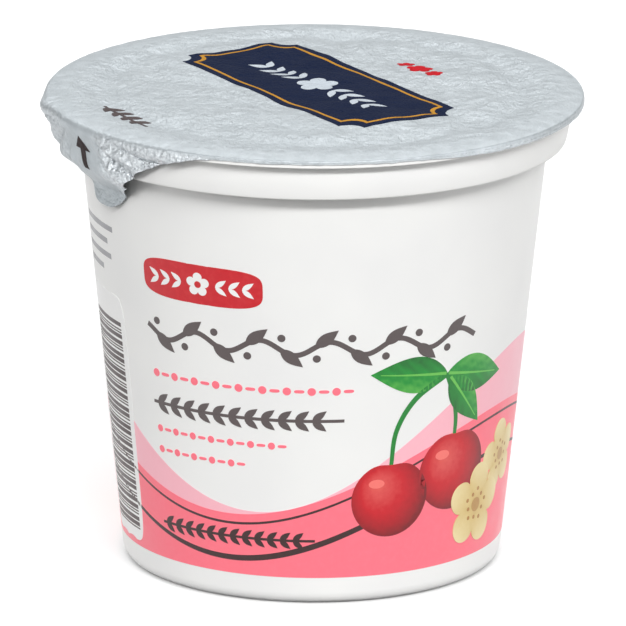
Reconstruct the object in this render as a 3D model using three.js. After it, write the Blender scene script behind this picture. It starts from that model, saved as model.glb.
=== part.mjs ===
// A sealed single-serve yogurt pot: a tapered plastic cup with a stacking band under its flange,
// shut by a sheet of foil whose pull tab is folded down over the band.
// Millimetres, +Z up. The origin is the centre of the base and the printed front faces -Y.
import * as THREE from "three";
import { ParametricGeometry } from "three/addons/geometries/ParametricGeometry.js";

// Cup: driving dimensions
const CUP_HEIGHT = 67.1; // top of the flange, where the foil is sealed on
const FLANGE_RADIUS = 37.55;
const FLANGE_THICKNESS = 1;
const BAND_TOP_RADIUS = 36.1; // stacking band just under the flange
const BAND_FOOT_RADIUS = 35.42;
const BAND_FOOT_HEIGHT = 61.3; // underside of the band, where a ledge steps in to the wall
const BAND_FILLET = 0.5; // hollow between the band and the flange
const WALL_TOP_RADIUS = 32.95;
const WALL_FOOT_RADIUS = 26.6; // the wall's straight line carried down to the base plane
const BASE_ROUND = 1.8;
const FOOT_RING_WIDTH = 2.4;
const RECESS_DEPTH = 1.6; // hollow under the base, inside the foot ring
const EDGE_ROUND = 0.35;

// Foil lid: driving dimensions
const FOIL = 0.3; // thicker than real foil, so that the sheet stays a sound solid
const FOIL_RADIUS = 38;
const WRAP_ROUND = 0.55; // bend where the foil turns down over the flange
const HEM_LENGTH = 0.15; // straight hem below that bend, away from the tab
const HEM_LEAN = 0.05; // how far the hem closes in on the flange
const HEM_UNEVENNESS = 0.08;
const HEM_WAVES = 5; // times round the lid that the hem grows longer and shorter
const HEM_BEATS = 8; // times round the lid that this unevenness fades
const GATHERED_HEM = 0.6; // how much longer the hem is beside the tab
const GATHERED_REACH = 50; // arc from the tab's middle at which the hem is short again

// Pull tab: driving dimensions
const TAB_AZIMUTH = THREE.MathUtils.degToRad(-61); // from the front, positive towards +X
const TAB_TIP_HEIGHT = 55;
const TAB_HALF_WIDTH = 8.8; // arc from the tab's middle at which half its length is left
const TAB_TAPER = 3; // the higher, the squarer the tab's tongue
const TAB_SHOULDER = 15; // arc at which its sides start to run out into the hem
const TAB_REACH = 25; // arc at which they have run out
const TAB_OVER_BAND = 1.1; // how far the tab's outside stands off the band
const TAB_TUCK = 1.9; // how far it stands off the wall half way from the band to its tip
const TAB_OFF_WALL = 0.9; // how far its tip stands off the wall
const CRIMP_DEPTH = 0.35; // gathers in the foil on both sides of the tab
const CRIMP_ARC = 4.4; // arc from one gather to the next

// Mesh density
const CUP_SEGMENTS = 96;
const CURVE_STEPS = 3;
const TAB_COLUMNS = 50;
const PLAIN_COLUMNS = 54;
const DROP_ROWS = 7;

const flangeUnderside = CUP_HEIGHT - FLANGE_THICKNESS;
const lidTop = CUP_HEIGHT + FOIL;
const wrapFoot = lidTop - WRAP_ROUND;

// Radius of the cup's straight wall at a height.
function wallRadius(height) {
  const slope = (WALL_TOP_RADIUS - WALL_FOOT_RADIUS) / BAND_FOOT_HEIGHT;
  return WALL_FOOT_RADIUS + slope * height;
}

// Half section of the shut cup, from the middle of its base out and up to the middle of its top.
function cupProfile() {
  const footOuter = WALL_FOOT_RADIUS - BASE_ROUND;
  const footInner = footOuter - FOOT_RING_WIDTH;
  const bandEdge = BAND_FOOT_RADIUS - EDGE_ROUND;
  const bandEdgeTop = BAND_FOOT_HEIGHT + EDGE_ROUND;
  const filletEdge = BAND_TOP_RADIUS + BAND_FILLET;
  const flangeEdge = FLANGE_RADIUS - EDGE_ROUND;
  const path = new THREE.Path();
  path.moveTo(0, RECESS_DEPTH);
  path.lineTo(footInner - RECESS_DEPTH, RECESS_DEPTH);
  path.lineTo(footInner, 0);
  path.lineTo(footOuter, 0);
  path.quadraticCurveTo(WALL_FOOT_RADIUS, 0, wallRadius(BASE_ROUND), BASE_ROUND);
  path.lineTo(WALL_TOP_RADIUS, BAND_FOOT_HEIGHT);
  path.lineTo(bandEdge, BAND_FOOT_HEIGHT);
  path.quadraticCurveTo(BAND_FOOT_RADIUS, BAND_FOOT_HEIGHT, BAND_FOOT_RADIUS, bandEdgeTop);
  path.lineTo(BAND_TOP_RADIUS, flangeUnderside - BAND_FILLET);
  path.quadraticCurveTo(BAND_TOP_RADIUS, flangeUnderside, filletEdge, flangeUnderside);
  path.lineTo(flangeEdge, flangeUnderside);
  path.quadraticCurveTo(FLANGE_RADIUS, flangeUnderside, FLANGE_RADIUS, flangeUnderside + EDGE_ROUND);
  path.lineTo(FLANGE_RADIUS, CUP_HEIGHT - EDGE_ROUND);
  path.quadraticCurveTo(FLANGE_RADIUS, CUP_HEIGHT, flangeEdge, CUP_HEIGHT);
  path.lineTo(0, CUP_HEIGHT);
  return path.getPoints(CURVE_STEPS);
}

// The way the foil's outside takes below the bend: down past the band, then in towards the wall.
const bandMiddle = (flangeUnderside + BAND_FOOT_HEIGHT) / 2;
const tuckHeight = (BAND_FOOT_HEIGHT + TAB_TIP_HEIGHT) / 2;
const drape = new THREE.SplineCurve([
  new THREE.Vector2(FOIL_RADIUS, wrapFoot),
  new THREE.Vector2(FOIL_RADIUS - HEM_LEAN, flangeUnderside),
  new THREE.Vector2(BAND_TOP_RADIUS + TAB_OVER_BAND, bandMiddle),
  new THREE.Vector2(BAND_FOOT_RADIUS + TAB_OVER_BAND, BAND_FOOT_HEIGHT),
  new THREE.Vector2(wallRadius(tuckHeight) + TAB_TUCK, tuckHeight),
  new THREE.Vector2(wallRadius(TAB_TIP_HEIGHT) + TAB_OFF_WALL, TAB_TIP_HEIGHT),
]);
const drapeLength = drape.getLength();

// Arc from the tab's middle, measured round the lid's edge.
function arcFromTab(azimuth) {
  const turn = Math.atan2(Math.sin(azimuth - TAB_AZIMUTH), Math.cos(azimuth - TAB_AZIMUTH));
  return turn * BAND_TOP_RADIUS;
}

// How far the foil reaches down its drape at an azimuth: an uneven hem, and the tab's tongue.
function dropLength(azimuth) {
  const arc = Math.abs(arcFromTab(azimuth));
  const gathered = 1 - THREE.MathUtils.smoothstep(arc, TAB_REACH, GATHERED_REACH);
  const uneven = Math.sin(HEM_WAVES * azimuth) * Math.cos(HEM_BEATS * azimuth);
  const hem = HEM_LENGTH + GATHERED_HEM * gathered + HEM_UNEVENNESS * uneven;
  const runOut = 1 - THREE.MathUtils.smoothstep(arc, TAB_SHOULDER, TAB_REACH);
  const tongue = runOut / (1 + (arc / TAB_HALF_WIDTH) ** TAB_TAPER);
  return hem + (drapeLength - hem) * tongue;
}

// Outward push of the gathers beside the tab, strongest where its sides run into the hem.
function crimp(azimuth) {
  const arc = arcFromTab(azimuth);
  const gather = Math.exp(-(((Math.abs(arc) - TAB_SHOULDER) / TAB_HALF_WIDTH) ** 2));
  const fold = (1 - Math.cos((2 * Math.PI * arc) / CRIMP_ARC)) / 2;
  return CRIMP_DEPTH * gather * fold;
}

// Points of the foil's outside in the half plane at an azimuth, each with the direction facing out.
function foilSection(azimuth) {
  const section = [];
  const flatEdge = FOIL_RADIUS - WRAP_ROUND;
  for (const radius of [0, flatEdge / 2, flatEdge]) {
    section.push({ at: new THREE.Vector2(radius, lidTop), out: new THREE.Vector2(0, 1) });
  }
  for (let step = 1; step <= CURVE_STEPS; step += 1) {
    const bend = (step / CURVE_STEPS) * (Math.PI / 2);
    const out = new THREE.Vector2(Math.sin(bend), Math.cos(bend));
    const centre = new THREE.Vector2(flatEdge, wrapFoot);
    section.push({ at: centre.addScaledVector(out, WRAP_ROUND), out });
  }
  const drop = dropLength(azimuth);
  for (let row = 1; row <= DROP_ROWS; row += 1) {
    const along = row / DROP_ROWS;
    const place = (along * drop) / drapeLength;
    const at = drape.getPointAt(place);
    const down = drape.getTangentAt(place);
    at.x += crimp(azimuth) * along;
    section.push({ at, out: new THREE.Vector2(-down.y, down.x) });
  }
  return section;
}

// Azimuth of a column of the mesh: columns stand closer together over the tab than elsewhere.
function columnAzimuth(u) {
  const tabHalf = TAB_REACH / BAND_TOP_RADIUS;
  const column = u * (TAB_COLUMNS + PLAIN_COLUMNS);
  if (column <= TAB_COLUMNS) {
    return TAB_AZIMUTH + tabHalf * ((2 * column) / TAB_COLUMNS - 1);
  }
  const plainTurn = 2 * Math.PI - 2 * tabHalf;
  return TAB_AZIMUTH + tabHalf + plainTurn * ((column - TAB_COLUMNS) / PLAIN_COLUMNS);
}

// A closed sheet: the inside from the middle of the lid to the hem, then the outside back again.
const SIDE_ROWS = 2 + CURVE_STEPS + DROP_ROWS;
const SHEET_ROWS = 2 * SIDE_ROWS + 1;
function foilPoint(u, v, target) {
  const azimuth = columnAzimuth(u % 1);
  const row = Math.round(v * SHEET_ROWS);
  const inside = row <= SIDE_ROWS;
  const { at, out } = foilSection(azimuth)[inside ? row : SHEET_ROWS - row];
  const radius = at.x - (inside ? FOIL * out.x : 0);
  const height = at.y - (inside ? FOIL * out.y : 0);
  target.set(radius * Math.sin(azimuth), -radius * Math.cos(azimuth), height);
}

function makeCup() {
  const geometry = new THREE.LatheGeometry(cupProfile(), CUP_SEGMENTS);
  geometry.rotateX(Math.PI / 2);
  const plastic = new THREE.MeshStandardMaterial({ color: 0xf2f1f0, roughness: 0.35, metalness: 0 });
  const mesh = new THREE.Mesh(geometry, plastic);
  mesh.name = "cup";
  return mesh;
}

function makeFoilLid() {
  const geometry = new ParametricGeometry(foilPoint, TAB_COLUMNS + PLAIN_COLUMNS, SHEET_ROWS);
  const foil = new THREE.MeshStandardMaterial({ color: 0xccd3d8, roughness: 0.4, metalness: 0.6 });
  const mesh = new THREE.Mesh(geometry, foil);
  mesh.name = "foil_lid";
  return mesh;
}

const pot = new THREE.Group();
pot.add(makeCup(), makeFoilLid());

export default pot;
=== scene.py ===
import math
from collections import namedtuple

import bpy
import numpy as np
from mathutils import Matrix, Vector, noise
from mathutils.geometry import delaunay_2d_cdt


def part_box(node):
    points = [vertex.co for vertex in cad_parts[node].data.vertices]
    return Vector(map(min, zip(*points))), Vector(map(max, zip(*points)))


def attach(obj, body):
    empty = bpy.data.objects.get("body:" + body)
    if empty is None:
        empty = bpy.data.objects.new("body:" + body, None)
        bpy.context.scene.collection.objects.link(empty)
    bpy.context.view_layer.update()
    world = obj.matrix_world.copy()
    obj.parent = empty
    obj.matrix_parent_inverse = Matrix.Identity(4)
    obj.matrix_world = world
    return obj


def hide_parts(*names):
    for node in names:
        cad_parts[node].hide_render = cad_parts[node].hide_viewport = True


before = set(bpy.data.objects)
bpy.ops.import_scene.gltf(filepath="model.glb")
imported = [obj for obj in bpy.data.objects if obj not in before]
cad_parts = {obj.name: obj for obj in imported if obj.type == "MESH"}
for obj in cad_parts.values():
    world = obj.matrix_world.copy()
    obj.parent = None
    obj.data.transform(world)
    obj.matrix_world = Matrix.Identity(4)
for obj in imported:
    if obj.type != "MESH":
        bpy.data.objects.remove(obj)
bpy.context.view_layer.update()        # a cup and its foil lid, on one body

# Sizes are in millimetres until a mesh is made. Azimuths run from the front (-Y), positive towards +X.
MM = 0.001
BODY = "root"
CUP_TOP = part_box("cup")[1].z / MM
LID_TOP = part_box("foil_lid")[1].z / MM
FOIL_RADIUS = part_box("foil_lid")[1].x / MM

# Cup
FLANGE_RADIUS = 37.6
FLANGE_THICKNESS = 0.9
FLANGE_SLOPE = 0.15      # how far its outer edge lies below its top
BAND_TOP_RADIUS = 36.1
BAND_FOOT_RADIUS = 35.52
BAND_KNEE_HEIGHT = 63.2  # where the band's face starts to lean in further
BAND_KNEE_RADIUS = 35.98
BAND_FOOT_HEIGHT = 61.12
BAND_FILLET = 1.0
WALL_TOP_RADIUS = 32.95
WALL_FOOT_RADIUS = 26.6
BASE_ROUND = 1.8
FOOT_RING_WIDTH = 2.4
RECESS_DEPTH = 1.6
HEADSPACE = 1.6          # clear room under the foil, so that its waves stay above the cup's fill
CUP_SEGMENTS = 288
ARC_STEPS = 6

# Foil
FOIL = 0.09
CROWN = LID_TOP + 0.25   # top of the foil over the mouth
RIM_SAG = 0.4            # how far the welded rim slopes down from that to its bend
WRAP_ROUND = 0.4         # bend where the foil turns down over the flange
FULL_WRAP = 0.95         # the same bend beside the tab, where the foil is pulled down
HEM_LENGTH = 0.6         # hem below that bend
SHORT_HEM = 0.05         # the hem at the front, where the foil is cut short
LEAST_HEM = 0.03
HEM_LEAN = 0.05          # how far the hem closes in on the flange
FRONT_TRIM = 0.22        # how much closer to the flange the foil lies at the front
LUMPY_RIM = 35.2         # radius at which the lumps of the foil's edge begin
GATHERED_HEM = 0.2       # how much longer the hem is beside the tab
NEAR_REACH = 27.0        # arc from the tab at which the gathers end, on its front side
FAR_REACH = 40.0         # and on its far side
TAB_AZIMUTH = math.radians(-61)
TAB_TIP_HEIGHT = 55.0
TAB_HALF_WIDTH = 8.8     # arc from the tab's middle at which half its length is left
TAB_TAPER = 3            # the higher, the squarer the tab's tongue
TAB_SHOULDER = 15.0      # arc at which its sides start to run out into the hem
TAB_REACH = 25.0         # arc at which they have run out
TAB_OVER_BAND = 0.85     # how far it stands off the band
TAB_OFF_WALL = 0.85      # and off the wall
FAN_ROOT = 1.5           # the gathers' folds fan out from a point this far above the tab's root
FAN_VALLEY = 14.0        # degrees below the rim of the first valley between them
FAN_STEP = 19.5          # degrees from one valley to the next
FOLD_HEIGHT = 1.4        # from a fold's valley to its ridge
FOLD_VALLEY = 0.45       # how far its valley lies behind the plain drape
CRINKLE_HEIGHT = 0.42
NOSE_BULGE = 0.8         # bulge of the rim beyond the tab's far side
NOSE_ARC = -13.5
NOSE_WIDTH = 3.5
MOUTH_RADIUS = 33.4      # inside of the flange, where the foil is no longer welded down
GROOVE_RADIUS = 29.5     # shallow groove that the slack foil makes inside its rim
GROOVE_WIDTH = 2.2
GROOVE_DEPTH = 0.45
WELD_EDGE = 1.5          # width over which the lid's grain flattens out on to the weld
WAVE_HEIGHT = 0.5        # slack waves over the mouth
WAVE_LENGTH = 10.0
RIPPLE_HEIGHT = 0.2      # smaller waves on those
RIPPLE_LENGTH = 4.4
CREASE_HEIGHT = 0.2      # long slanting creases
CREASE_LENGTH = 17.0
CREASE_WIDTH = 6.0
TAB_COLUMN = math.radians(0.32)
PLAIN_COLUMN = math.radians(0.5)
TOP_ROWS = 56
WRAP_ROWS = 5
DROP_ROWS = 28
UNDER_ROW_STEP = 2       # the foil's hidden underside has every second row of its top

# Print
LABEL_RADIUS = 29.5      # arcs of the print are measured at this radius
HALF_TURN = math.pi * LABEL_RADIUS
PRINT_FOOT = 4.05
FIELD, LINE, MOTIF, OVER, TOP = 0.015, 0.03, 0.045, 0.06, 0.075   # how far each layer stands proud
MARK = 0.012             # how much prouder a motif's own marks stand
INK_ROOT = 0.04          # how far the ink's back reaches into what carries it
LID_CLEARANCE = 0.03     # how much prouder the lid's ink stands, clear of the foil's waves


def smooth(low, high, value):
    t = np.clip((value - low) / (high - low), 0.0, 1.0)
    return t * t * (3.0 - 2.0 * t)


def ripple(seed, *coordinates):
    """Smooth noise between about -1 and 1, at each point of two coordinate arrays or one."""
    first = np.atleast_1d(np.asarray(coordinates[0], float))
    second = np.asarray(coordinates[1], float) if len(coordinates) > 1 else np.zeros_like(first)
    flat = [noise.noise((x, y, seed)) for x, y in zip(first.ravel(), second.ravel())]
    return np.array(flat).reshape(first.shape)


def spline(points, steps):
    """A smooth curve through the points, as a dense polyline."""
    p = np.array(points, float)
    p = np.vstack((2 * p[0] - p[1], p, 2 * p[-1] - p[-2]))
    t = np.linspace(0.0, 1.0, steps, endpoint=False)[:, None]
    pieces = []
    for a, b, c, d in zip(p, p[1:], p[2:], p[3:]):
        pieces.append(0.5 * (2 * b + (c - a) * t + (2 * a - 5 * b + 4 * c - d) * t**2
                             + (3 * b - a - 3 * c + d) * t**3))
    return np.vstack(pieces + [p[-2:-1]])


def rounded(corners):
    """A polyline of (radius, height, rounding) corners, with each rounding drawn as a curve."""
    line = []
    for k, (r, z, size) in enumerate(corners):
        here = np.array((r, z))
        if not size:
            line.append(here)
            continue
        before = np.array(corners[k - 1][:2]) - here
        after = np.array(corners[k + 1][:2]) - here
        start = here + before * size / np.hypot(*before)
        end = here + after * size / np.hypot(*after)
        for t in np.linspace(0.0, 1.0, ARC_STEPS + 1):
            line.append((1 - t) ** 2 * start + 2 * t * (1 - t) * here + t**2 * end)
    return np.array(line)


def make_piece(name, vertices, faces, material, sharp_angle=40):
    """A mesh piece from millimetre points, smooth but for its sharp edges, riding on the pot's body."""
    mesh = bpy.data.meshes.new(name)
    mesh.from_pydata((np.asarray(vertices) * MM).tolist(), [], faces)
    mesh.polygons.foreach_set("use_smooth", [True] * len(mesh.polygons))
    mesh.set_sharp_from_angle(angle=math.radians(sharp_angle))
    mesh.materials.append(material)
    piece = bpy.data.objects.new(name, mesh)
    bpy.context.collection.objects.link(piece)
    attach(piece, BODY)
    return piece


def set_field(piece, name, values):
    """A number for each point of a piece, which its material reads by name."""
    piece.data.attributes.new(name, "FLOAT", "POINT").data.foreach_set("value", values)


# Materials

def srgb(red, green, blue):
    """A colour as it looks on a screen, 0 to 255, as a linear shader colour."""
    parts = []
    for value in (red, green, blue):
        v = value / 255
        parts.append(v / 12.92 if v <= 0.04045 else ((v + 0.055) / 1.055) ** 2.4)
    return (*parts, 1.0)


def start_material(name):
    material = bpy.data.materials.new(name)
    material.use_nodes = True
    return material, material.node_tree, material.node_tree.nodes["Principled BSDF"]


def add_node(tree, kind, inputs=None, **settings):
    """A node with its settings, and with each input either linked to a socket or set to a value."""
    made = tree.nodes.new(kind)
    for key, value in settings.items():
        setattr(made, key, value)
    for key, value in (inputs or {}).items():
        if isinstance(value, bpy.types.NodeSocket):
            tree.links.new(value, made.inputs[key])
        else:
            made.inputs[key].default_value = value
    return made


def grain(tree, size, detail=2.0, stretch=(1.0, 1.0, 1.0)):
    """Noise whose lumps are about size millimetres across, in the pot's own frame."""
    where = add_node(tree, "ShaderNodeTexCoord").outputs["Object"]
    turned = add_node(tree, "ShaderNodeMapping", {"Vector": where, "Scale": stretch}).outputs["Vector"]
    inputs = {"Vector": turned, "Scale": 1 / (size * MM), "Detail": detail}
    return add_node(tree, "ShaderNodeTexNoise", inputs).outputs["Fac"]


def spread(tree, value, low, high):
    """A noise value stretched to run from low to high."""
    inputs = {"Value": value, "From Min": 0.3, "From Max": 0.7, "To Min": low, "To Max": high}
    return add_node(tree, "ShaderNodeMapRange", inputs).outputs["Result"]


def ramp(tree, value, stops):
    """A colour ramp through (place, colour) stops."""
    made = add_node(tree, "ShaderNodeValToRGB", {"Fac": value})
    elements = made.color_ramp.elements
    while len(elements) < len(stops):
        elements.new(0.5)
    for element, (place, colour) in zip(elements, stops):
        element.position = place
        element.color = colour
    return made.outputs["Color"]


def bump(tree, shader, height, strength, depth, under=None):
    inputs = {"Height": height, "Strength": strength, "Distance": depth * MM}
    if under is not None:
        inputs["Normal"] = under
    made = add_node(tree, "ShaderNodeBump", inputs).outputs["Normal"]
    tree.links.new(made, shader.inputs["Normal"])
    return made


def plastic_material():
    material, tree, shader = start_material("white_plastic")
    tone = ramp(tree, grain(tree, 14), [(0.3, srgb(238, 238, 237)), (0.7, srgb(243, 243, 241))])
    tree.links.new(tone, shader.inputs["Base Color"])
    tree.links.new(spread(tree, grain(tree, 3.5), 0.34, 0.44), shader.inputs["Roughness"])
    shader.inputs["IOR"].default_value = 1.49
    drawn = bump(tree, shader, grain(tree, 2.4, stretch=(1.0, 1.0, 0.12)), 0.08, 0.05)
    bump(tree, shader, grain(tree, 0.5), 0.06, 0.02, drawn)
    return material


def foil_grain(tree, shader):
    """The lid's embossed grain: fine pips on broader dints, pressed flat where the foil is welded down."""
    welded = add_node(tree, "ShaderNodeAttribute", attribute_name="welded").outputs["Fac"]

    def pressed(strength):
        inputs = {"Value": welded, "To Min": strength, "To Max": 0.4 * strength}
        return add_node(tree, "ShaderNodeMapRange", inputs).outputs["Result"]

    dints = bump(tree, shader, grain(tree, 1.6, 3.0), pressed(1.0), 0.34)
    return bump(tree, shader, grain(tree, 0.5, 1.0, (1.0, 0.45, 1.0)), pressed(0.9), 0.28, dints)


def foil_material():
    """Matt lacquered foil, with bare shiny crinkles where its crinkle attribute says so."""
    material, tree, shader = start_material("lid_foil")
    crinkle = add_node(tree, "ShaderNodeAttribute", attribute_name="crinkle").outputs["Fac"]

    def by_crinkle(plain, crinkled):
        inputs = {"Value": crinkle, "To Min": plain, "To Max": crinkled}
        return add_node(tree, "ShaderNodeMapRange", inputs).outputs["Result"]

    lacquer = ramp(tree, grain(tree, 2, 4.0), [(0.3, srgb(165, 172, 176)), (0.7, srgb(180, 187, 191))])
    bare = ramp(tree, grain(tree, 0.5), [(0.3, srgb(158, 163, 167)), (0.7, srgb(204, 209, 212))])
    tone = add_node(tree, "ShaderNodeMix", data_type="RGBA")
    for socket, value in ((tone.inputs[0], crinkle), (tone.inputs[6], lacquer), (tone.inputs[7], bare)):
        tree.links.new(value, socket)
    tree.links.new(tone.outputs[2], shader.inputs["Base Color"])
    matt = spread(tree, grain(tree, 1.2), 0.45, 0.55)
    tree.links.new(by_crinkle(matt, 0.34), shader.inputs["Roughness"])
    tree.links.new(by_crinkle(0.58, 0.9), shader.inputs["Metallic"])
    pips = foil_grain(tree, shader)
    bump(tree, shader, grain(tree, 0.7, 4.0), by_crinkle(0.0, 1.0), 0.4, pips)
    return material


def ink_material(name, dark, middle, light, on_foil=False):
    """Printed ink. Its shade attribute goes from dark through middle to light, with a faint mottle."""
    material, tree, shader = start_material(name)
    shade = add_node(tree, "ShaderNodeAttribute", attribute_name="shade").outputs["Fac"]
    mottle = spread(tree, grain(tree, 0.8, 3.0), -0.03, 0.03)
    value = add_node(tree, "ShaderNodeMath", {0: shade, 1: mottle}, operation="ADD").outputs["Value"]
    stops = [(0.0, srgb(*dark)), (0.5, srgb(*middle)), (1.0, srgb(*light))]
    tree.links.new(ramp(tree, value, stops), shader.inputs["Base Color"])
    matt = 0.2 if on_foil else 0.0
    tree.links.new(spread(tree, grain(tree, 3.5), 0.32 + matt, 0.42 + matt), shader.inputs["Roughness"])
    shader.inputs["IOR"].default_value = 1.49
    if on_foil:
        shader.inputs["IOR"].default_value = 1.15
        shader.inputs["Specular IOR Level"].default_value = 0.2
        foil_grain(tree, shader)
    else:
        bump(tree, shader, grain(tree, 0.5), 0.06, 0.02)
    return material


# Dark, middle and light colours of each ink
INKS = {
    "pink": ((238, 94, 114), (252, 118, 134), (254, 152, 165)),
    "blush": ((244, 165, 180), (249, 184, 196), (252, 205, 213)),
    "red": ((96, 6, 16), (196, 24, 36), (240, 120, 112)),
    "green": ((6, 70, 24), (18, 136, 46), (110, 190, 84)),
    "cream": ((172, 122, 60), (216, 190, 126), (238, 222, 172)),
    "charcoal": ((62, 54, 54), (84, 75, 75), (110, 100, 100)),
    "brown": ((30, 12, 12), (44, 20, 20), (70, 40, 38)),
    "white": ((225, 225, 224), (240, 240, 239), (246, 246, 245)),
    "silver": ((165, 172, 180), (178, 186, 194), (192, 199, 206)),
    "grey": ((120, 120, 124), (150, 150, 154), (180, 180, 184)),
    "navy": ((10, 20, 42), (14, 26, 53), (30, 44, 80)),
    "gold": ((132, 88, 24), (178, 128, 44), (214, 172, 90)),
}


# Cup

def wall_radius(height):
    slope = (WALL_TOP_RADIUS - WALL_FOOT_RADIUS) / BAND_FOOT_HEIGHT
    return WALL_FOOT_RADIUS + slope * height


def cup_profile():
    """Half section from the middle of the base, out and up the wall, and in over the mouth."""
    foot = WALL_FOOT_RADIUS - BASE_ROUND - FOOT_RING_WIDTH
    underside = CUP_TOP - FLANGE_THICKNESS
    mark = 6.0                     # moulded ring in the middle of the base
    return rounded([
        (0, RECESS_DEPTH - 0.25, 0),
        (mark, RECESS_DEPTH - 0.25, 0.2),
        (mark + 0.4, RECESS_DEPTH, 0.2),
        (foot - RECESS_DEPTH, RECESS_DEPTH, 0.6),
        (foot, 0, 0.4),
        (WALL_FOOT_RADIUS, 0, BASE_ROUND),
        (WALL_TOP_RADIUS, BAND_FOOT_HEIGHT, 0.35),
        (BAND_FOOT_RADIUS, BAND_FOOT_HEIGHT, 0.3),
        (BAND_KNEE_RADIUS, BAND_KNEE_HEIGHT, 1.5),
        (BAND_TOP_RADIUS, underside, BAND_FILLET),
        (FLANGE_RADIUS, underside, 0.15),
        (FLANGE_RADIUS, CUP_TOP - FLANGE_SLOPE, 0.12),
        (BAND_TOP_RADIUS, CUP_TOP, 0.5),
        (MOUTH_RADIUS, CUP_TOP, 0.3),
        (MOUTH_RADIUS - 0.5, CUP_TOP - HEADSPACE, 0.3),
        (0, CUP_TOP - HEADSPACE, 0),
    ])


def make_cup():
    profile = cup_profile()
    turn = np.linspace(0.0, 2 * math.pi, CUP_SEGMENTS, endpoint=False)
    rings = profile[1:-1]
    r, z = rings[:, :1], rings[:, 1:]
    points = np.stack((r * np.sin(turn), -r * np.cos(turn), z + 0 * turn), axis=-1).reshape(-1, 3)
    foot, top = len(points), len(points) + 1
    points = np.vstack((points, (0, 0, profile[0, 1]), (0, 0, profile[-1, 1])))
    faces = []
    last = (len(rings) - 1) * CUP_SEGMENTS
    for c in range(CUP_SEGMENTS):
        n = (c + 1) % CUP_SEGMENTS
        faces.append((foot, n, c))
        faces.append((last + c, last + n, top))
        for row in range(0, last, CUP_SEGMENTS):
            faces.append((row + c, row + n, row + CUP_SEGMENTS + n, row + CUP_SEGMENTS + c))
    cup = make_piece("cup_shell", points, faces, plastic_material(), 60)
    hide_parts("cup")


# Foil lid

def lid_relief(x, y):
    """Height of the foil over the lid: slack waves over the mouth, and a rim welded to the flange."""
    r = np.hypot(x, y)
    slack = 1 - smooth(GROOVE_RADIUS, MOUTH_RADIUS, r)
    waves = WAVE_HEIGHT * ripple(3.1, x / WAVE_LENGTH, y / WAVE_LENGTH)
    ripples = RIPPLE_HEIGHT * ripple(7.7, x / RIPPLE_LENGTH, y / RIPPLE_LENGTH)
    creases = CREASE_HEIGHT * (0.5 - np.abs(ripple(1.7, (x - y) / CREASE_LENGTH, (x + y) / CREASE_WIDTH)))
    groove = GROOVE_DEPTH * np.exp(-(((r - GROOVE_RADIUS) / GROOVE_WIDTH) ** 2))
    on_rim = np.clip(r - MOUTH_RADIUS, 0.0, None) / (FOIL_RADIUS - MOUTH_RADIUS)
    return CROWN + slack * (waves + ripples + creases) - groove - RIM_SAG * on_rim**2


def arc_from_tab(azimuth):
    turn = np.arctan2(np.sin(azimuth - TAB_AZIMUTH), np.cos(azimuth - TAB_AZIMUTH))
    return turn * BAND_TOP_RADIUS


def drape():
    """The way the foil takes below its bend, as lengths with the radius and the height there."""
    underside = CUP_TOP - FLANGE_THICKNESS
    tip = wall_radius(TAB_TIP_HEIGHT) + TAB_OFF_WALL
    way = spline([
        (FOIL_RADIUS, CROWN - RIM_SAG - WRAP_ROUND),
        (FOIL_RADIUS - HEM_LEAN, underside),
        (BAND_TOP_RADIUS + TAB_OVER_BAND, (underside + BAND_FOOT_HEIGHT) / 2),
        (BAND_FOOT_RADIUS + TAB_OVER_BAND, BAND_FOOT_HEIGHT - 0.2),
        (tip + 1.3, BAND_FOOT_HEIGHT - 2.4),     # swings in under the band
        (tip - 0.05, TAB_TIP_HEIGHT + 2.2),      # closest to the wall
        (tip + 0.4, TAB_TIP_HEIGHT),             # curls out a little at its end
    ], 24)
    steps = np.hypot(*np.diff(way, axis=0).T)
    return np.concatenate(([0.0], np.cumsum(steps))), way[:, 0], way[:, 1]


DRAPE_LENGTH, DRAPE_RADIUS, DRAPE_HEIGHT = drape()


def trim(azimuth):
    """How much closer the foil lies to the flange than its full radius: most at the front."""
    return FRONT_TRIM * (0.5 + 0.5 * np.cos(azimuth)) ** 2


def reach(arc):
    """Arc from the tab's middle at which the gathers on this side of it end."""
    return np.where(arc > 0, NEAR_REACH, FAR_REACH)


def wrap_round(arc):
    """Size of the bend over the flange: fuller where the tab pulls the foil down."""
    return FULL_WRAP + (WRAP_ROUND - FULL_WRAP) * smooth(TAB_HALF_WIDTH, reach(arc), np.abs(arc))


def drop_length(azimuth):
    """How far the foil reaches down its drape: an uneven hem, and the tab's rounded tongue."""
    arc = arc_from_tab(azimuth)
    away = np.abs(arc)
    gathered = 1 - smooth(0.7 * reach(arc), reach(arc), away)
    front = smooth(0.7, 0.92, np.cos(azimuth + math.radians(3)))
    uneven = 0.15 * ripple(11.3, arc / 3.5) + 0.2 * ripple(12.9, arc / 1.1)
    hem = HEM_LENGTH + (SHORT_HEM - HEM_LENGTH) * front + GATHERED_HEM * gathered
    hem = np.maximum(hem + (0.5 + 0.5 * gathered) * uneven, LEAST_HEM)
    tongue = (1 - smooth(TAB_SHOULDER, TAB_REACH, away)) / (1 + (away / TAB_HALF_WIDTH) ** TAB_TAPER)
    start = wrap_round(arc) - WRAP_ROUND
    torn = flank(arc) * (0.35 * ripple(13.7, arc / 1.3) + 0.2 * ripple(14.9, arc / 0.5))
    length = start + hem + (DRAPE_LENGTH[-1] - start - hem) * tongue + torn * tongue
    return np.maximum(length, start + LEAST_HEM)


def flank(arc):
    """How strongly the foil is gathered: most on the tab's two sides, and dying away round the rim."""
    away = np.abs(arc)
    near = smooth(2.5, 7.0, away) * np.where(arc > 0, 1.0, 0.6)
    return near * (1 - 0.6 * smooth(17.0, 30.0, away)) * (1 - smooth(30.0, 75.0, away))


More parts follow.
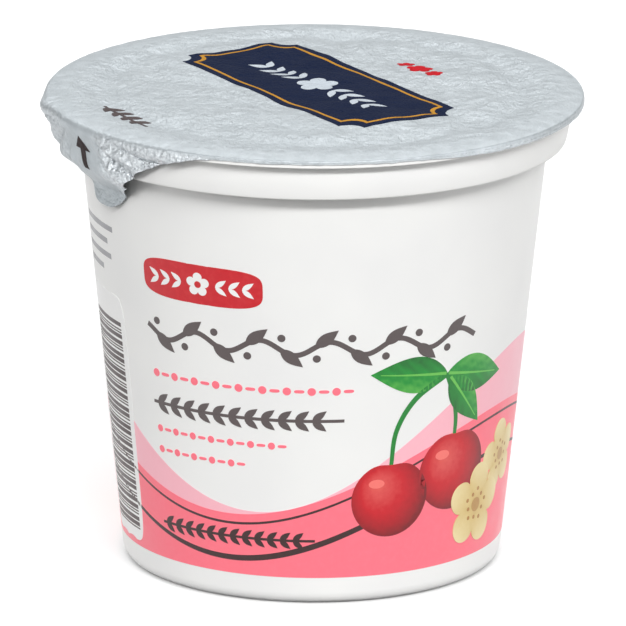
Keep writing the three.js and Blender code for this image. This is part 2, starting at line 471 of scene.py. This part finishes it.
def folds(arc, length):
    """Folds of the gathered foil, which fan out from above the tab's root, in millimetres."""
    fan = np.degrees(np.arctan2(length + FAN_ROOT, np.abs(arc))) + 3 * ripple(21.0, arc / 4, length / 4)
    from_valley = 2 * np.abs(((fan - FAN_VALLEY) / FAN_STEP + 0.5) % 1.0 - 0.5)
    return FOLD_HEIGHT * np.sqrt(from_valley) - FOLD_VALLEY


def crumple(arc, length):
    """Fine sharp crinkles, in millimetres."""
    coarse = np.abs(ripple(23.0, arc / 1.1, length / 1.6))
    fine = np.abs(ripple(24.0, arc / 0.55, length / 0.8))
    return CRINKLE_HEIGHT * (0.35 - (coarse + 0.6 * fine))


def nose(arc, length):
    """A bulge of the rim beyond the tab's far side, in millimetres."""
    bulge = NOSE_BULGE * np.exp(-(((arc - NOSE_ARC) / NOSE_WIDTH) ** 2))
    return bulge * (1 - smooth(1.8, 3.0, length))


def gathers(arc, length):
    """How much the foil is crinkled at a place: all over the flanks, but not on the tab's smooth tip."""
    smooth_tip = smooth(7.2, 8.6, length) * (1 - smooth(5.0, 8.0, np.abs(arc)))
    return np.maximum(flank(arc), 0.35 * smooth(6.0, 14.0, np.abs(arc))) * (1 - smooth_tip)


def hang(azimuth, along):
    """Radius and height of the foil at a share of its drop, and how much it is crinkled there."""
    arc = arc_from_tab(azimuth)
    start = wrap_round(arc) - WRAP_ROUND
    length = start + along * (drop_length(azimuth) - start)
    radius = np.interp(length, DRAPE_LENGTH, DRAPE_RADIUS)
    height = np.interp(length, DRAPE_LENGTH, DRAPE_HEIGHT)
    low = smooth(0.0, 2.0, length)
    gathered = gathers(arc, length)
    radius += gathered * (low * folds(arc, length) + (0.25 + 0.75 * low) * crumple(arc, length))
    radius += low * 0.10 * ripple(31.0, arc / 5.0, length / 6.0) + nose(arc, length) - trim(azimuth)
    return radius, height, gathered


def column_azimuths():
    tab_half = TAB_REACH / BAND_TOP_RADIUS
    tab_count = round(2 * tab_half / TAB_COLUMN)
    plain_count = round((2 * math.pi - 2 * tab_half) / PLAIN_COLUMN)
    tab = np.linspace(-tab_half, tab_half, tab_count, endpoint=False)
    plain = np.linspace(tab_half, 2 * math.pi - tab_half, plain_count, endpoint=False)
    return TAB_AZIMUTH + np.concatenate((tab, plain))


def foil_rows(azimuth):
    """Radius, height and crinkling along every row of the foil's outside, from the middle to the hem."""
    arc = arc_from_tab(azimuth)
    wrap = wrap_round(arc)
    flat_edge = FOIL_RADIUS - wrap
    lump = (0.4 + flank(arc)) * (0.06 * ripple(41.0, arc / 2.2) + 0.06 * ripple(42.0, arc / 0.8))
    rows = []
    for k in range(1, TOP_ROWS + 1):
        r = flat_edge * (k / TOP_ROWS) ** 0.9
        z = lid_relief(r * np.sin(azimuth), -r * np.cos(azimuth))
        near_rim = smooth(LUMPY_RIM, flat_edge, r)
        rows.append((r, z + lump * near_rim, 0 * arc))
    foot = CROWN - RIM_SAG - wrap
    rise = z - foot - wrap
    first = hang(azimuth, 0.0)[0] - FOIL_RADIUS
    for k in range(1, WRAP_ROWS + 1):
        bend = k / WRAP_ROWS * math.pi / 2
        swell = wrap + lump
        r = flat_edge + swell * math.sin(bend) + first * math.sin(bend) ** 2
        z = foot + (swell + rise) * math.cos(bend)
        rows.append((r, z, gathers(arc, 0.0) * math.sin(bend) ** 3))
    for k in range(1, DROP_ROWS + 1):
        r, z, gathered = hang(azimuth, k / DROP_ROWS)
        rows.append((r + lump * (1 - k / DROP_ROWS), z, gathered))
    return rows


def make_foil():
    azimuth = column_azimuths()
    columns = len(azimuth)
    rows = foil_rows(azimuth)
    outside = np.array([
        np.column_stack((r * np.sin(azimuth), -r * np.cos(azimuth), z)) for r, z, _ in rows
    ])
    across = np.roll(outside, -1, axis=1) - np.roll(outside, 1, axis=1)
    down = np.gradient(outside, axis=0)
    out = np.cross(down, across)
    out /= np.linalg.norm(out, axis=2, keepdims=True)
    kept = [*range(0, TOP_ROWS - 1, UNDER_ROW_STEP), *range(TOP_ROWS - 1, len(rows))]
    under = (outside - FOIL * out)[kept]
    middle = lid_relief(np.zeros(1), np.zeros(1))[0]
    centres = ((0, 0, middle), (0, 0, middle - FOIL))
    points = np.vstack((outside.reshape(-1, 3), under.reshape(-1, 3), centres))
    back = len(rows) * columns
    back_hem = back + (len(kept) - 1) * columns
    top, bottom = len(points) - 2, len(points) - 1
    faces = []
    for c in range(columns):
        n = (c + 1) % columns
        faces.append((top, c, n))
        faces.append((bottom, back + n, back + c))
        for row in range(0, back - columns, columns):
            faces.append((row + c, row + columns + c, row + columns + n, row + n))
        for row in range(back, back_hem, columns):
            faces.append((row + n, row + columns + n, row + columns + c, row + c))
        hem = back - columns
        faces.append((hem + c, back_hem + c, back_hem + n, hem + n))
    foil = make_piece("foil_sheet", points, faces, foil_material(), 60)
    crinkle = np.array([gathered for *_, gathered in rows])
    welded = smooth(MOUTH_RADIUS, MOUTH_RADIUS + WELD_EDGE, np.hypot(outside[:, :, 0], outside[:, :, 1]))
    for name, field in (("crinkle", crinkle), ("welded", welded)):
        values = np.concatenate((field.ravel(), field[kept].ravel(), (0.0, 0.0)))
        set_field(foil, name, values)
    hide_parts("foil_lid")


# Print: outlines are drawn flat, filled with triangles and laid on the wall or the lid

Shape = namedtuple("Shape", "outline shade lift")


def ellipse(x, y, wide, high, steps=40):
    t = np.linspace(0, 2 * math.pi, steps, endpoint=False)
    return np.column_stack((x + wide * np.cos(t), y + high * np.sin(t)))


def pillow(x, y, wide, high, power=4.0, steps=72):
    """A rounded rectangle drawn as a superellipse."""
    t = np.linspace(0, 2 * math.pi, steps, endpoint=False)
    c, s = np.cos(t), np.sin(t)
    return np.column_stack((x + wide * np.sign(c) * np.abs(c) ** (2 / power),
                            y + high * np.sign(s) * np.abs(s) ** (2 / power)))


def leaf(base, tip, width, steps=14):
    """A pointed leaf from base to tip."""
    base, tip = np.array(base, float), np.array(tip, float)
    along = tip - base
    side = np.array((-along[1], along[0])) / np.hypot(*along)
    t = np.linspace(0, 1, steps)[:, None]
    half = width / 2 * np.sin(math.pi * t**0.8)
    right = base + along * t - side * half
    left = base + along * t + side * half
    return np.vstack((right, left[-2:0:-1]))


def blossom(x, y, size, turn=0.0, petals=5, steps=100):
    """A flower of round petals."""
    t = np.linspace(0, 2 * math.pi, steps, endpoint=False)
    r = size * (0.62 + 0.38 * np.abs(np.cos(petals / 2 * t)) ** 0.7)
    return np.column_stack((x + r * np.cos(t + turn), y + r * np.sin(t + turn)))


def stroke(line, width, end_width=None):
    """A band along a line, with its width going from one end's to the other's."""
    line = np.array(line, float)
    along = np.gradient(line, axis=0)
    side = np.column_stack((-along[:, 1], along[:, 0]))
    side /= np.hypot(*side.T)[:, None]
    last = width if end_width is None else end_width
    half = np.linspace(width, last, len(line))[:, None] / 2
    return np.vstack((line - side * half, (line + side * half)[::-1]))


def box(left, right, foot, top):
    """A rectangle whose long sides carry enough points to follow the wall."""
    x = np.linspace(left, right, max(2, round((right - left) / 0.8)))
    return np.vstack((np.column_stack((x, 0 * x + foot)), np.column_stack((x[::-1], 0 * x + top))))


def inside(points, outline):
    """Which points lie inside a closed outline."""
    x, y = points[:, :1], points[:, 1:]
    a, b = outline, np.roll(outline, -1, axis=0)
    crosses = (a[:, 1] > y) != (b[:, 1] > y)
    rise = np.where(b[:, 1] == a[:, 1], 1.0, b[:, 1] - a[:, 1])
    at = a[:, 0] + (y - a[:, 1]) * (b[:, 0] - a[:, 0]) / rise
    return (crosses & (x < at)).sum(axis=1) % 2 == 1


def fill(outline, spacing):
    """Triangles over an outline, with points inside it no further apart than the spacing."""
    low, high = outline.min(axis=0), outline.max(axis=0)
    x, y = (np.arange(a + spacing / 2, b, spacing) for a, b in zip(low, high))
    grid = np.stack(np.meshgrid(x, y), axis=-1).reshape(-1, 2)
    if len(grid):
        grid = grid[inside(grid, outline)]
    if len(grid):
        gap = np.hypot(*(grid[:, None] - outline[None]).transpose(2, 0, 1)).min(axis=1)
        grid = grid[gap > 0.4 * spacing]
    corners = [Vector(p) for p in np.vstack((outline, grid))]
    ring = list(range(len(outline)))
    points, _, triangles, *_ = delaunay_2d_cdt(corners, [], [ring], 1, 1e-6)
    points = np.array([tuple(p) for p in points])
    t = np.array(triangles)
    (ax, ay), (bx, by), (cx, cy) = (points[t[:, k]].T for k in range(3))
    turned = (bx - ax) * (cy - ay) - (by - ay) * (cx - ax) < 0
    t[turned] = t[turned][:, ::-1]
    return points, t


def on_wall(points, lift):
    azimuth = points[:, 0] / LABEL_RADIUS
    radius = wall_radius(points[:, 1]) + lift
    return np.column_stack((radius * np.sin(azimuth), -radius * np.cos(azimuth), points[:, 1]))


def on_lid(points, lift):
    return np.column_stack((points, lid_relief(points[:, 0], points[:, 1]) + lift + LID_CLEARANCE))


def on_tab(points, lift):
    """Places across the tab's middle and down its length."""
    azimuth = TAB_AZIMUTH + points[:, 0] / BAND_TOP_RADIUS
    start = wrap_round(points[:, 0]) - WRAP_ROUND
    along = (points[:, 1] - start) / (drop_length(azimuth) - start)
    radius, height, _ = hang(azimuth, along)
    radius = radius + lift
    return np.column_stack((radius * np.sin(azimuth), -radius * np.cos(azimuth), height))


def closed_sheet(front, behind, triangles):
    """Points and faces of a thin solid whose front and back are the same triangles."""
    count = len(front)
    a, b, c = triangles.T
    edges = np.concatenate((np.stack((a, b), 1), np.stack((b, c), 1), np.stack((c, a), 1)))
    known = {tuple(e) for e in edges.tolist()}
    faces = [tuple(t) for t in triangles.tolist()]
    faces += [tuple(count + i for i in reversed(t)) for t in triangles.tolist()]
    faces += [(count + i, count + j, j, i) for i, j in edges.tolist() if (j, i) not in known]
    return np.vstack((front, behind)), faces


def print_piece(name, ink, shapes, place, on_foil=False, spacing=0.7):
    """All the shapes of one ink, as one piece of thin closed solids."""
    all_points, all_faces, all_shades, count = [], [], [], 0
    for outline, shade, lift in shapes:
        points, triangles = fill(outline, spacing)
        solid, faces = closed_sheet(place(points, lift), place(points, -INK_ROOT), triangles)
        tone = shade(points) if callable(shade) else np.full(len(points), shade)
        all_points.append(solid)
        all_shades.extend((tone, tone))
        all_faces.extend(tuple(count + i for i in f) for f in faces)
        count += len(solid)
    material = ink_material(name, *INKS[ink], on_foil=on_foil)
    piece = make_piece(name, np.vstack(all_points), all_faces, material)
    set_field(piece, "shade", np.concatenate(all_shades))


def band_piece(name, ink, foot, top, lift, columns=360, rows=8):
    """A field of colour all round the wall, between two heights that change with the azimuth."""
    turn = np.linspace(0, 2 * math.pi, columns, endpoint=False)
    share = np.linspace(0, 1, rows + 1)[:, None]
    z = foot(turn) * (1 - share) + top(turn) * share
    flat = np.stack((np.broadcast_to(turn * LABEL_RADIUS, z.shape), z), axis=-1).reshape(-1, 2)
    c = np.arange(columns)
    n = (c + 1) % columns
    triangles = []
    for row in range(0, rows * columns, columns):
        triangles.append(np.stack((row + c, row + n, row + columns + n), 1))
        triangles.append(np.stack((row + c, row + columns + n, row + columns + c), 1))
    points, faces = closed_sheet(on_wall(flat, lift), on_wall(flat, -INK_ROOT), np.vstack(triangles))
    piece = make_piece(name, points, faces, ink_material(name, *INKS[ink]))
    set_field(piece, "shade", np.full(len(points), 0.5))


# Cup print: two hills of colour round the pot, a fruit spray on each rise, and plain ornaments

NEAR_HILL_HEIGHT = 19.3  # half way up its rise
NEAR_HILL_SWELL = 6.3    # how far it rises and falls from there
NEAR_HILL_TURN = math.radians(25)
FAR_HILL_SWELL = 4.6     # the same for the far hill, above the near one
FAR_HILL_TURN = math.radians(5)
LOW_LINE = 7.0           # how far below the near hill's edge a line of changing width runs
HIGH_LINE = 1.55         # and a thin one


def near_hill(turn):
    return NEAR_HILL_HEIGHT - NEAR_HILL_SWELL * np.cos(2 * (turn + NEAR_HILL_TURN))


def far_hill(turn):
    return near_hill(turn) + FAR_HILL_SWELL - FAR_HILL_SWELL * np.cos(2 * (turn + FAR_HILL_TURN))


def print_fields():
    def foot(turn):
        return np.full_like(turn, PRINT_FOOT)

    def low_line(turn):
        return near_hill(turn) - LOW_LINE

    def low_line_top(turn):
        return low_line(turn) + 0.65 + 0.25 * np.cos(2 * turn)

    def high_line(turn):
        return near_hill(turn) - HIGH_LINE

    def high_line_top(turn):
        return high_line(turn) + 0.35

    band_piece("print_far_hill", "blush", foot, far_hill, FIELD)
    band_piece("print_near_hill", "pink", foot, near_hill, LINE)
    band_piece("print_near_line", "brown", low_line, low_line_top, MOTIF, rows=2)
    band_piece("print_far_line", "brown", high_line, high_line_top, MOTIF, rows=2)


def cherry(shapes, x, z, size):
    t = np.linspace(0, 2 * math.pi, 64, endpoint=False)
    dent = 1 - 0.10 * np.exp(-(((t - math.pi / 2) / 0.32) ** 2))
    outline = np.column_stack((x + size * dent * np.cos(t), z + 0.94 * size * dent * np.sin(t)))

    def shade(points):
        away = np.hypot(points[:, 0] - x + 0.34 * size, points[:, 1] - z - 0.36 * size) / size
        rim = np.hypot(points[:, 0] - x, points[:, 1] - z) / size
        return np.clip(0.78 - 0.42 * away - 0.22 * rim**4, 0.05, 1.0)

    shine = ellipse(x - 0.38 * size, z + 0.40 * size, 0.20 * size, 0.11 * size)
    shapes["red"].append(Shape(outline, shade, OVER))
    shapes["red"].append(Shape(shine, 1.0, TOP))


def green_leaf(shapes, base, tip, width):
    base, tip = np.array(base, float), np.array(tip, float)
    along = (tip - base) / np.hypot(*(tip - base))

    def shade(points):
        off = (points - base) @ np.array((-along[1], along[0])) / (width / 2)
        down = (points - base) @ along / np.hypot(*(tip - base))
        veins = 0.10 * np.sin(9 * math.pi * (down - 0.35 * np.abs(off)))
        return np.clip(0.45 + 0.28 * off + veins, 0.05, 0.9)

    shapes["green"].append(Shape(leaf(base, tip, width, 22), shade, MOTIF))
    rib = base + (tip - base) * np.linspace(0.02, 0.88, 14)[:, None]
    shapes["green"].append(Shape(stroke(rib, 0.45, 0.12), 0.95, OVER))


def stem(shapes, line):
    shapes["green"].append(Shape(stroke(spline(line, 10), 0.95, 0.6), 0.35, MOTIF))


def cream_blossom(shapes, x, z, size, turn, lift):
    def shade(points):
        dx, dz = points[:, 0] - x, points[:, 1] - z
        share = np.hypot(dx, dz) / size
        between = 1 - np.abs(np.cos(2.5 * (np.arctan2(dz, dx) - turn))) ** 0.5
        return np.clip(0.32 + 0.62 * share - 0.35 * between * share, 0.05, 1.0)

    shapes["cream"].append(Shape(blossom(x, z, size, turn), shade, lift))
    shapes["cream"].append(Shape(ellipse(x, z, 0.17 * size, 0.17 * size, 24), 0.12, lift + MARK))
    for k in range(10):
        a = turn + 2 * math.pi * k / 10
        r = size * (0.30 if k % 2 else 0.38)
        dot = ellipse(x + r * math.cos(a), z + r * math.sin(a), 0.05 * size, 0.05 * size, 10)
        shapes["cream"].append(Shape(dot, 0.02, lift + MARK))


def fruit_spray(shapes, at):
    """Two cherries on forked stalks with leaves, and two blossoms beside them."""
    fork = (at + 19.0, 33.0)
    stem(shapes, [fork, (at + 14.0, 30.0), (at + 11.2, 25.5), (at + 10.6, 20.0)])
    stem(shapes, [fork, (at + 20.4, 29.5), (at + 21.2, 26.0), (at + 21.2, 22.5)])
    green_leaf(shapes, fork, (at + 7.0, 34.2), 5.4)
    green_leaf(shapes, fork, (at + 30.5, 31.0), 5.6)
    green_leaf(shapes, (at + 19.5, 32.5), (at + 26.0, 24.5), 4.6)
    cherry(shapes, at + 10.8, 15.4, 6.0)
    cherry(shapes, at + 21.6, 18.2, 6.3)
    cream_blossom(shapes, at + 34.0, 17.6, 5.4, 0.5, OVER + 0.02)
    cream_blossom(shapes, at + 27.6, 11.6, 6.2, 0.2, TOP + 0.03)


def vine(shapes, left, right, z):
    """A winding stalk with leaves and buds on alternate sides."""
    period = 9.5
    swing = 1.0

    def winding(x):
        return z + swing * np.sin(2 * math.pi * x / period)

    x = np.linspace(left, right, 160)
    stalk = np.column_stack((x, winding(x)))
    shapes["charcoal"].append(Shape(stroke(stalk, 0.75), 0.5, LINE))
    count = int((right - left) / (period / 2))
    for k in range(count):
        base = left + 1.6 + k * period / 2
        height = winding(base)
        side = 1 if k % 2 else -1
        tip = (base + 3.1, height + 2.5 * side)
        shapes["charcoal"].append(Shape(leaf((base, height), tip, 1.7), 0.5, MOTIF))
        bud = ellipse(base + 0.2, height - 1.7 * side, 0.55, 0.55, 18)
        shapes["charcoal"].append(Shape(bud, 0.5, MOTIF))


def twig(shapes, ink, left, right, z, size, lift=LINE):
    """A straight stalk with pairs of small leaves."""
    x = np.linspace(left, right, 40)
    shapes[ink].append(Shape(stroke(np.column_stack((x, 0 * x + z)), 0.22 * size), 0.5, lift))
    for base in np.arange(left + 0.4 * size, right - size, 1.15 * size):
        for side in (-1, 1):
            tip = (base + 0.95 * size, z + 0.72 * size * side)
            shapes[ink].append(Shape(leaf((base, z), tip, 0.5 * size, 8), 0.5, lift + MARK))


def bead_row(shapes, ink, left, right, z, size, lift=LINE):
    """Beads and dashes in turn."""
    step = 3.6 * size
    for k in range(int((right - left) / step)):
        x = left + size + k * step
        shapes[ink].append(Shape(ellipse(x, z, 0.62 * size, 0.62 * size, 20), 0.5, lift))
        shapes[ink].append(Shape(pillow(x + 1.8 * size, z, 0.75 * size, 0.26 * size, 3, 28), 0.5, lift))


def badge(shapes, x, z):
    """A red plaque with a white flower and sprigs."""
    shapes["red"].append(Shape(pillow(x, z, 9.2, 2.9), 0.5, LINE))
    shapes["white"].append(Shape(blossom(x, z, 1.75, math.pi / 2), 0.6, MOTIF))
    shapes["red"].append(Shape(ellipse(x, z, 0.5, 0.5, 18), 0.5, OVER))
    for side in (-1, 1):
        for k in range(3):
            start = x + side * (2.6 + 1.9 * k)
            for rise in (-1, 1):
                tip = (start + side * 1.6, z + rise * 1.15)
                shapes["white"].append(Shape(leaf((start, z), tip, 0.75, 8), 0.6, MOTIF))


PANEL_LEFT = math.radians(-82) * LABEL_RADIUS
PANEL_RIGHT = math.radians(-62) * LABEL_RADIUS
PANEL_HEIGHT = 23.0      # of its middle
PANEL_HALF = 18.2        # from there to its top
FIRST_BAR = 6.6
LAST_BAR = 39.4
MOST_BARS = 46
TOP_RULE = 50.6


def bar_panel(shapes, left, right):
    """A plain white panel of bars whose widths follow a fixed rhythm, with grey rules above it."""
    middle = (left + right) / 2
    margin = 1.2
    panel = pillow(middle, PANEL_HEIGHT, right - middle + margin, PANEL_HALF, 9)
    shapes["white"].append(Shape(panel, 0.6, MOTIF))
    z = FIRST_BAR
    for k in range(MOST_BARS):
        thick = 0.22 + 0.2 * ((7 * k * k + 3 * k) % 4)
        gap = 0.2 + 0.16 * ((5 * k * k + k) % 3)
        if z + thick > LAST_BAR:
            break
        shapes["brown"].append(Shape(box(left, right, z, z + thick), 0.3, OVER))
        z += thick + gap
    for k, share in enumerate((1.0, 0.82, 0.9, 0.6)):
        foot = TOP_RULE - 2.1 * k
        rule = box(left, left + share * (right - left), foot, foot + 0.8)
        shapes["grey"].append(Shape(rule, 0.5, LINE))


def print_cup():
    print_fields()
    shapes = {ink: [] for ink in INKS}
    for start in (0.0, HALF_TURN):
        left = start - 25.0
        fruit_spray(shapes, start + 1.0)
        badge(shapes, start - 15.8, 46.6)
        vine(shapes, left, start + 24.5, 38.4)
        bead_row(shapes, "pink", left, start + 9.0, 32.0, 0.95)
        twig(shapes, "charcoal", left, start + 4.5, 27.6, 2.1)
        bead_row(shapes, "pink", left, start - 3.0, 23.7, 0.85)
        bead_row(shapes, "pink", left, start - 7.0, 20.6, 0.85)
        twig(shapes, "brown", left, start + 0.5, 9.6, 1.7, OVER)
    bar_panel(shapes, PANEL_LEFT, PANEL_RIGHT)
    for ink, group in shapes.items():
        if group:
            print_piece("print_" + ink, ink, group, on_wall)


# Lid print: a dark plaque with a gold line, small sprigs, and an arrow on the tab

PLAQUE_MIDDLE = np.array((0.4, 2.0))
PLAQUE_TURN = math.atan2(-0.84, 0.54)
PLAQUE_LONG = 23.0       # half its length
PLAQUE_WIDE = 9.6        # half its width
PLAQUE_NOTCH = 2.6
GOLD_INSET = 1.1         # from the plaque's edge to its gold line
GOLD_WIDTH = 0.45
FLOWERS_PLACE = np.array((14.9, 11.2))
TWIG_PLACE = np.array((-26.29, -14.55))
TWIG_TURN = math.radians(-60)


def plaque_outline(inset=0.0):
    """A rectangle with hollow round corners, this far inside the plaque's edge."""
    points = []
    for quarter, signs in enumerate(((1, 1), (-1, 1), (-1, -1), (1, -1))):
        corner = np.array((PLAQUE_LONG - inset, PLAQUE_WIDE - inset)) * signs
        turn = np.linspace(-math.pi / 2, -math.pi, 12) + math.pi / 2 * quarter
        points.append(corner + PLAQUE_NOTCH * np.column_stack((np.cos(turn), np.sin(turn))))
    return np.vstack(points)


def denser(outline, step=0.7):
    """The same closed outline with no two points further apart than the step."""
    made = []
    for a, b in zip(outline, np.roll(outline, -1, axis=0)):
        count = max(1, math.ceil(np.hypot(*(b - a)) / step))
        made.append(a + (b - a) * np.linspace(0, 1, count, endpoint=False)[:, None])
    return np.vstack(made)


def laid(shapes, turn, middle):
    """The same shapes turned and moved to their place on the lid."""
    spin = np.array(((math.cos(turn), math.sin(turn)), (-math.sin(turn), math.cos(turn))))
    return [Shape(denser(s.outline) @ spin + middle, s.shade, s.lift) for s in shapes]


def gold_line():
    """The strip between two outlines of the plaque, as one small shape for each of their edges."""
    outer, inner = plaque_outline(GOLD_INSET), plaque_outline(GOLD_INSET + GOLD_WIDTH)
    line = []
    for a, b in zip(range(len(outer)), [*range(1, len(outer)), 0]):
        edge = np.vstack((outer[a], outer[b], inner[b], inner[a]))
        line.append(Shape(edge, 0.5, MOTIF))
    return line


def plaque_sprig():
    """A flower with pairs of leaves on both sides of it."""
    sprig = [Shape(blossom(0, 0, 3.0), 0.6, MOTIF)]
    for side in (-1, 1):
        for k in range(4):
            start = side * (4.0 + 2.9 * k)
            for rise in (-1, 1):
                tip = (start + side * 2.4, rise * 2.0)
                sprig.append(Shape(leaf((start, 0), tip, 1.2, 10), 0.6, MOTIF))
    return sprig


def print_lid():
    dark = {"charcoal": []}
    twig(dark, "charcoal", -6.0, 6.0, 0.0, 2.2)
    flowers = [Shape(blossom(x, 0, size), 0.4, LINE) for x, size in ((-3.6, 1.3), (0, 1.9), (3.6, 1.3))]
    for name, ink, shapes, turn, place in (
        ("lid_navy", "navy", [Shape(plaque_outline(), 0.5, LINE)], PLAQUE_TURN, PLAQUE_MIDDLE),
        ("lid_gold", "gold", gold_line(), PLAQUE_TURN, PLAQUE_MIDDLE),
        ("lid_white", "silver", plaque_sprig(), PLAQUE_TURN, PLAQUE_MIDDLE),
        ("lid_charcoal", "charcoal", dark["charcoal"], TWIG_TURN, TWIG_PLACE),
        ("lid_red", "red", flowers, PLAQUE_TURN, FLOWERS_PLACE),
    ):
        print_piece(name, ink, laid(shapes, turn, place), on_lid, True)


def print_tab():
    """An arrow that points up the tab, as arcs from its middle and lengths down it."""
    tip, barb, tail = 1.4, 3.6, 6.6
    left = [(-0.7, tail), (-0.7, barb), (-2.0, barb)]
    right = [(-across, down) for across, down in reversed(left)]
    arrow = np.array([*left, (0.0, tip), *right])
    outline = denser(arrow, 0.4)[::-1]
    print_piece("tab_arrow", "charcoal", [Shape(outline, 0.2, LINE)], on_tab, True, 0.4)


# Stage, lights and camera, in metres

FLOOR_RADIUS = 8.0
LIGHT_DISTANCE = 1.3
# Name, azimuth and elevation in degrees, width, height, and power in watts
LIGHTS = (
    ("key", 9, 38, 1.6, 0.16, 16.7),
    ("fill", -66, 16, 0.8, 0.16, 3.4),
    ("side", 75, 8, 0.6, 0.5, 3.6),
    ("top", 180, 45, 2.2, 0.4, 9.6),
)
BOUNCE_HEIGHT = 0.0004   # a faint light on the floor stands in for what the floor throws back
BOUNCE_SIZE = 0.11
BOUNCE_POWER = 0.0055
SKY_LOW = 0.16           # strength of the sky's light from below the horizon
SKY_HIGH = 0.55          # and from above it


def make_floor():
    material, tree, shader = start_material("pale_floor")
    tone = ramp(tree, grain(tree, 60), [(0.3, srgb(249, 249, 249)), (0.7, srgb(251, 251, 251))])
    tree.links.new(tone, shader.inputs["Base Color"])
    shader.inputs["Roughness"].default_value = 0.9
    shader.inputs["Specular IOR Level"].default_value = 0.1
    mesh = bpy.data.meshes.new("floor")
    t = np.linspace(0, 2 * math.pi, 96, endpoint=False)
    ring = np.column_stack((FLOOR_RADIUS * np.cos(t), FLOOR_RADIUS * np.sin(t), 0 * t))
    mesh.from_pydata(ring.tolist(), [], [tuple(range(len(ring)))])
    mesh.materials.append(material)
    floor = bpy.data.objects.new("floor", mesh)
    floor.visible_diffuse = False    # a lit floor would fill the shade under the lid and the band
    bpy.context.collection.objects.link(floor)


def make_light(name, place, aim, wide, high, power):
    """A soft rectangular light, in metres and watts, that stands at a place and looks at another."""
    data = bpy.data.lights.new(name, "AREA")
    data.shape = "RECTANGLE"
    data.size = wide
    data.size_y = high
    data.energy = power
    light = bpy.data.objects.new(name, data)
    light.location = place
    light.rotation_euler = (place - aim).to_track_quat("Z", "Y").to_euler()
    light.visible_camera = False
    bpy.context.collection.objects.link(light)


def make_lights():
    middle = Vector((0.0, 0.0, LID_TOP / 2 * MM))
    for name, azimuth, elevation, wide, high, power in LIGHTS:
        a, e = math.radians(azimuth), math.radians(elevation)
        towards = Vector((math.sin(a) * math.cos(e), -math.cos(a) * math.cos(e), math.sin(e)))
        make_light(name, middle + LIGHT_DISTANCE * towards, middle, wide, high, power)
    floor_middle = Vector((0.0, 0.0, BOUNCE_HEIGHT))
    make_light("bounce", floor_middle, middle, BOUNCE_SIZE, BOUNCE_SIZE, BOUNCE_POWER)


def make_sky():
    world = bpy.data.worlds.new("studio")
    world.use_nodes = True
    tree = world.node_tree
    sky = tree.nodes["Background"]
    sky.inputs["Color"].default_value = (1.0, 1.0, 1.0, 1.0)
    where = add_node(tree, "ShaderNodeTexCoord").outputs["Generated"]
    rise = add_node(tree, "ShaderNodeSeparateXYZ", {"Vector": where}).outputs["Z"]
    inputs = {"Value": rise, "From Min": -0.2, "From Max": 0.3, "To Min": SKY_LOW, "To Max": SKY_HIGH}
    tree.links.new(add_node(tree, "ShaderNodeMapRange", inputs).outputs["Result"], sky.inputs["Strength"])
    bpy.context.scene.world = world


# The camera stands far off with a long lens, as worked out from the photograph's outline
CAMERA_PLACE = (0.0, -1.59165, 0.48929)
CAMERA_PITCH = 0.2781
CAMERA_ROLL = 0.0065
FOCAL_PIXELS = 11708.9
PHOTO_PIXELS = 626


def make_camera():
    data = bpy.data.cameras.new("camera")
    data.sensor_width = 36.0
    data.lens = data.sensor_width * FOCAL_PIXELS / PHOTO_PIXELS
    data.clip_end = 50.0
    camera = bpy.data.objects.new("camera", data)
    aim = Matrix.Rotation(math.pi / 2 - CAMERA_PITCH, 4, "X") @ Matrix.Rotation(CAMERA_ROLL, 4, "Z")
    camera.matrix_world = Matrix.Translation(CAMERA_PLACE) @ aim
    bpy.context.collection.objects.link(camera)
    bpy.context.scene.camera = camera
    bpy.context.scene.view_settings.view_transform = "Standard"


make_cup()
make_foil()
print_cup()
print_lid()
print_tab()
make_floor()
make_lights()
make_sky()
make_camera()
